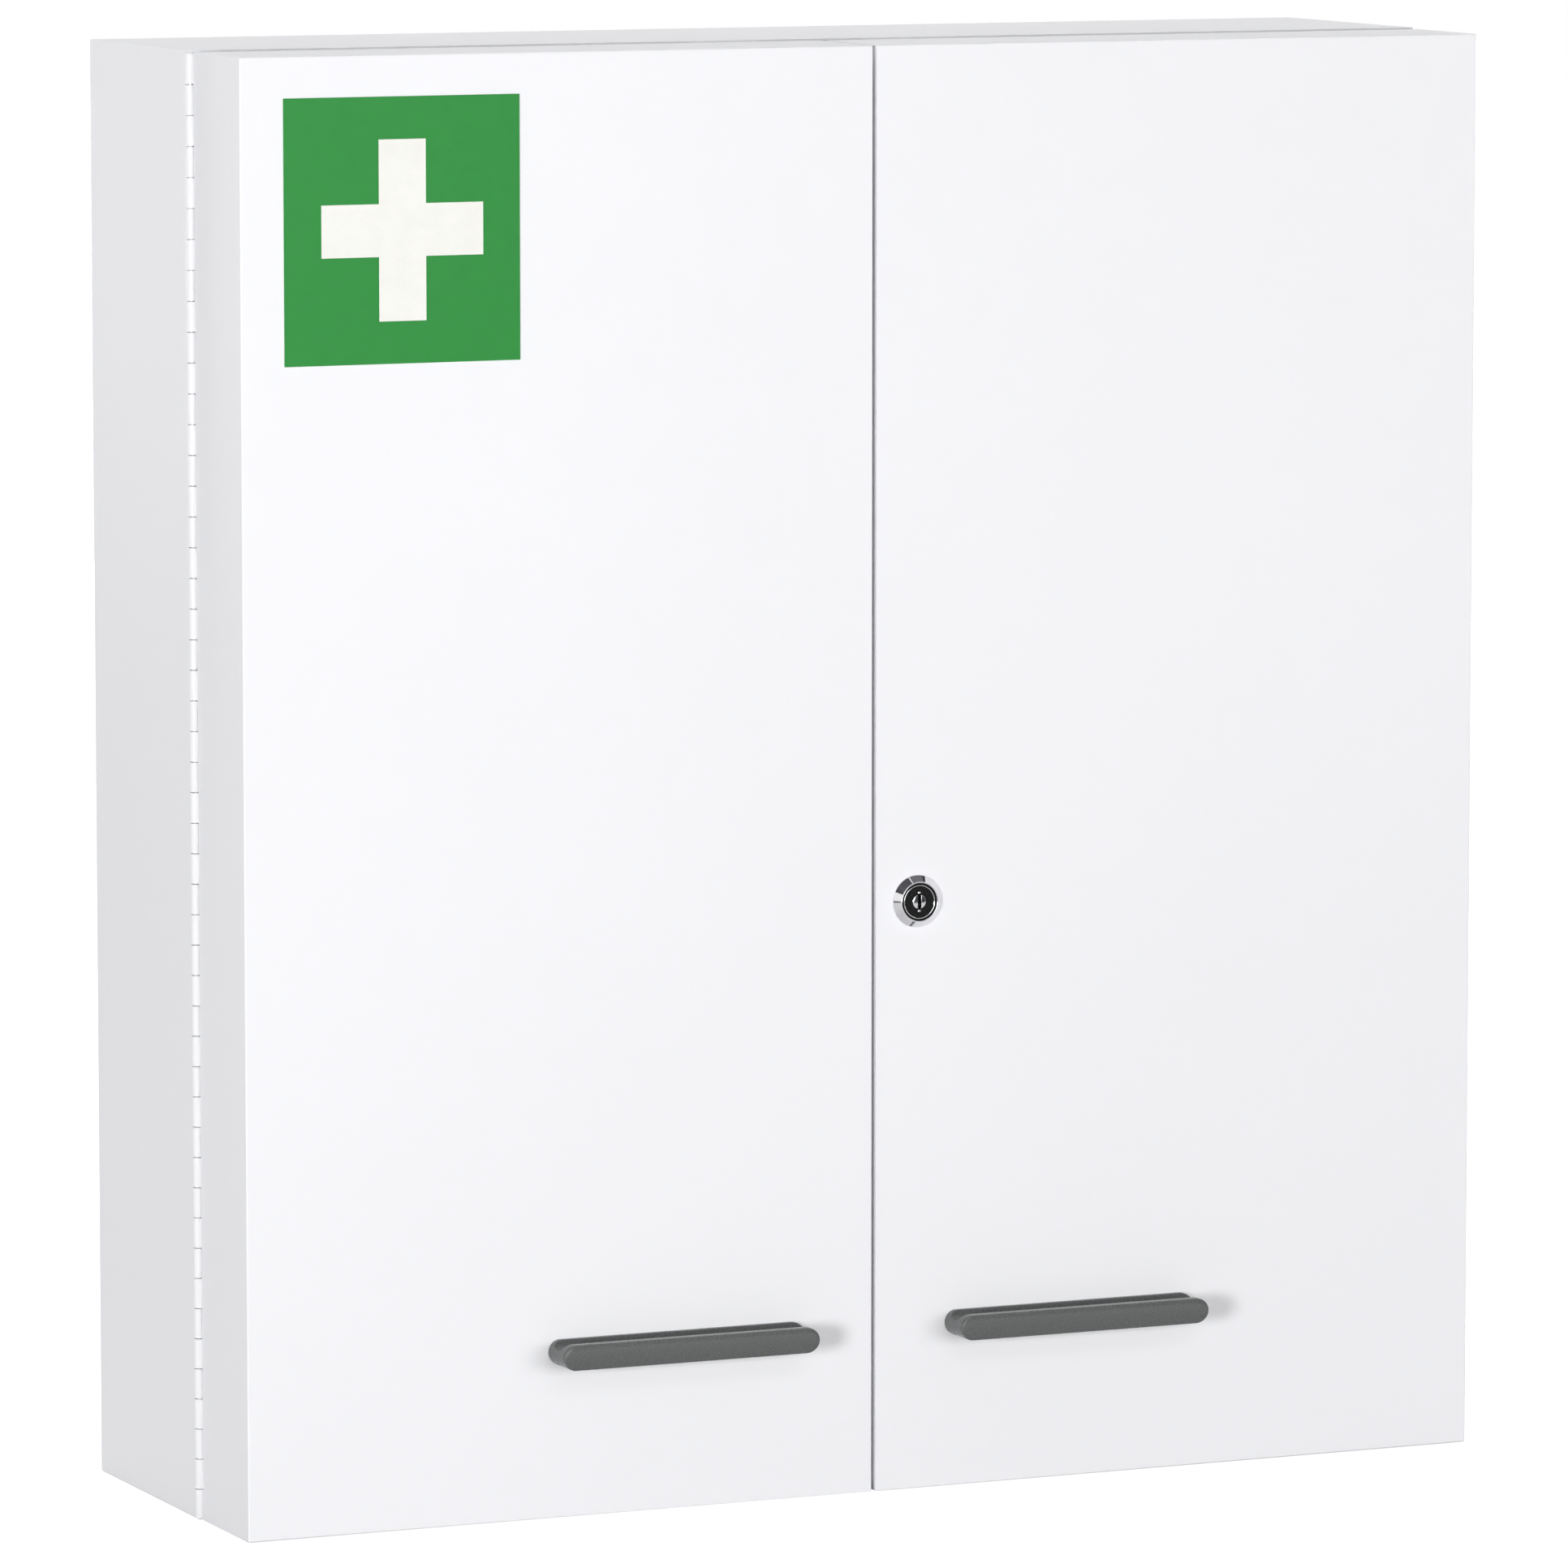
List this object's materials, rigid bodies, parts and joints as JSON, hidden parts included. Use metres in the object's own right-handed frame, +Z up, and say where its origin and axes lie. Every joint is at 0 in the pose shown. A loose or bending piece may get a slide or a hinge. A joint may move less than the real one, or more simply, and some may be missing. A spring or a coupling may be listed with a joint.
{
  "type": "lockable medicine cabinet",
  "caption": "Shallow white sheet-steel wall cabinet with two deep hinged doors, dark bar handles low down, a cam lock, a green first-aid sign with a white cross, and shelves inside.",
  "frame": {"origin": "centre of the four wall-fixing holes in the back panel, on the wall plane", "axes": "+X to the right as seen from the front, +Y from the front to the wall, +Z up"},
  "size_m": [0.605, 0.21, 0.65],
  "materials": {
    "white_paint": "smooth white powder coat, satin",
    "hinge_paint": "white painted steel hinge strip",
    "zinc_steel": "bright zinc-plated steel",
    "pale_plastic": "moulded off-white plastic",
    "ferrite": "dark ferrite magnet",
    "buffer_rubber": "soft grey rubber",
    "handle_plastic": "fine-textured dark grey moulding",
    "sign_green": "printed film, semi-gloss",
    "sign_white": "printed film, semi-gloss",
    "lock_chrome": "bright chrome plating",
    "black_plastic": "black moulded face ring"
  },
  "bodies": {
    "cabinet": {"body_shell": "white_paint", "back_panel": "white_paint", "strip_left_front": "zinc_steel", "strip_left_rear": "zinc_steel", "strip_right_front": "zinc_steel", "strip_right_rear": "zinc_steel", "shelf_lower": "white_paint", "shelf_middle": "white_paint", "shelf_upper": "white_paint", "clips_lower": "zinc_steel", "clips_middle": "zinc_steel", "clips_upper": "zinc_steel", "hinge_left_body_leaf": "hinge_paint", "hinge_left_pin": "zinc_steel", "hinge_right_body_leaf": "hinge_paint", "hinge_right_pin": "zinc_steel", "catch_left": "pale_plastic", "catch_right": "pale_plastic", "catch_magnets": "ferrite", "catch_screws": "zinc_steel", "rubber_buffers": "buffer_rubber"},
    "left_door": {"door_pan_left": "white_paint", "door_edge_left": "white_paint", "door_frame_left": "white_paint", "hinge_left_door_leaf": "hinge_paint", "door_shelf_left_lower": "white_paint", "door_shelf_left_upper": "white_paint", "door_rails_left": "zinc_steel", "strike_left": "zinc_steel", "handle_left": "handle_plastic", "handle_screws_left": "zinc_steel", "sign_field": "sign_green", "sign_cross": "sign_white"},
    "right_door": {"door_pan_right": "white_paint", "door_edge_right": "white_paint", "door_frame_right": "white_paint", "hinge_right_door_leaf": "hinge_paint", "door_shelf_right_lower": "white_paint", "door_shelf_right_upper": "white_paint", "door_rails_right": "zinc_steel", "strike_right": "zinc_steel", "handle_right": "handle_plastic", "handle_screws_right": "zinc_steel", "lock_housing": "lock_chrome", "lock_nut": "zinc_steel"},
    "lock_cylinder": {"lock_plug": "lock_chrome", "lock_face": "black_plastic", "lock_cam": "zinc_steel", "lock_cam_screw": "zinc_steel"}
  },
  "joints": [
    {"name": "left_door_swing", "type": "hinge", "parent": "cabinet", "child": "left_door", "pos_m": [-0.3, -0.1302, 0], "axis": [0, 0, -1], "range_deg": [0, 170]},
    {"name": "right_door_swing", "type": "hinge", "parent": "cabinet", "child": "right_door", "pos_m": [0.3, -0.1302, 0], "axis": [0, 0, 1], "range_deg": [0, 170]},
    {"name": "lock_turn", "type": "hinge", "parent": "right_door", "child": "lock_cylinder", "pos_m": [0.021, -0.19, -0.058], "axis": [0, 1, 0], "range_deg": [0, 90]}
  ]
}
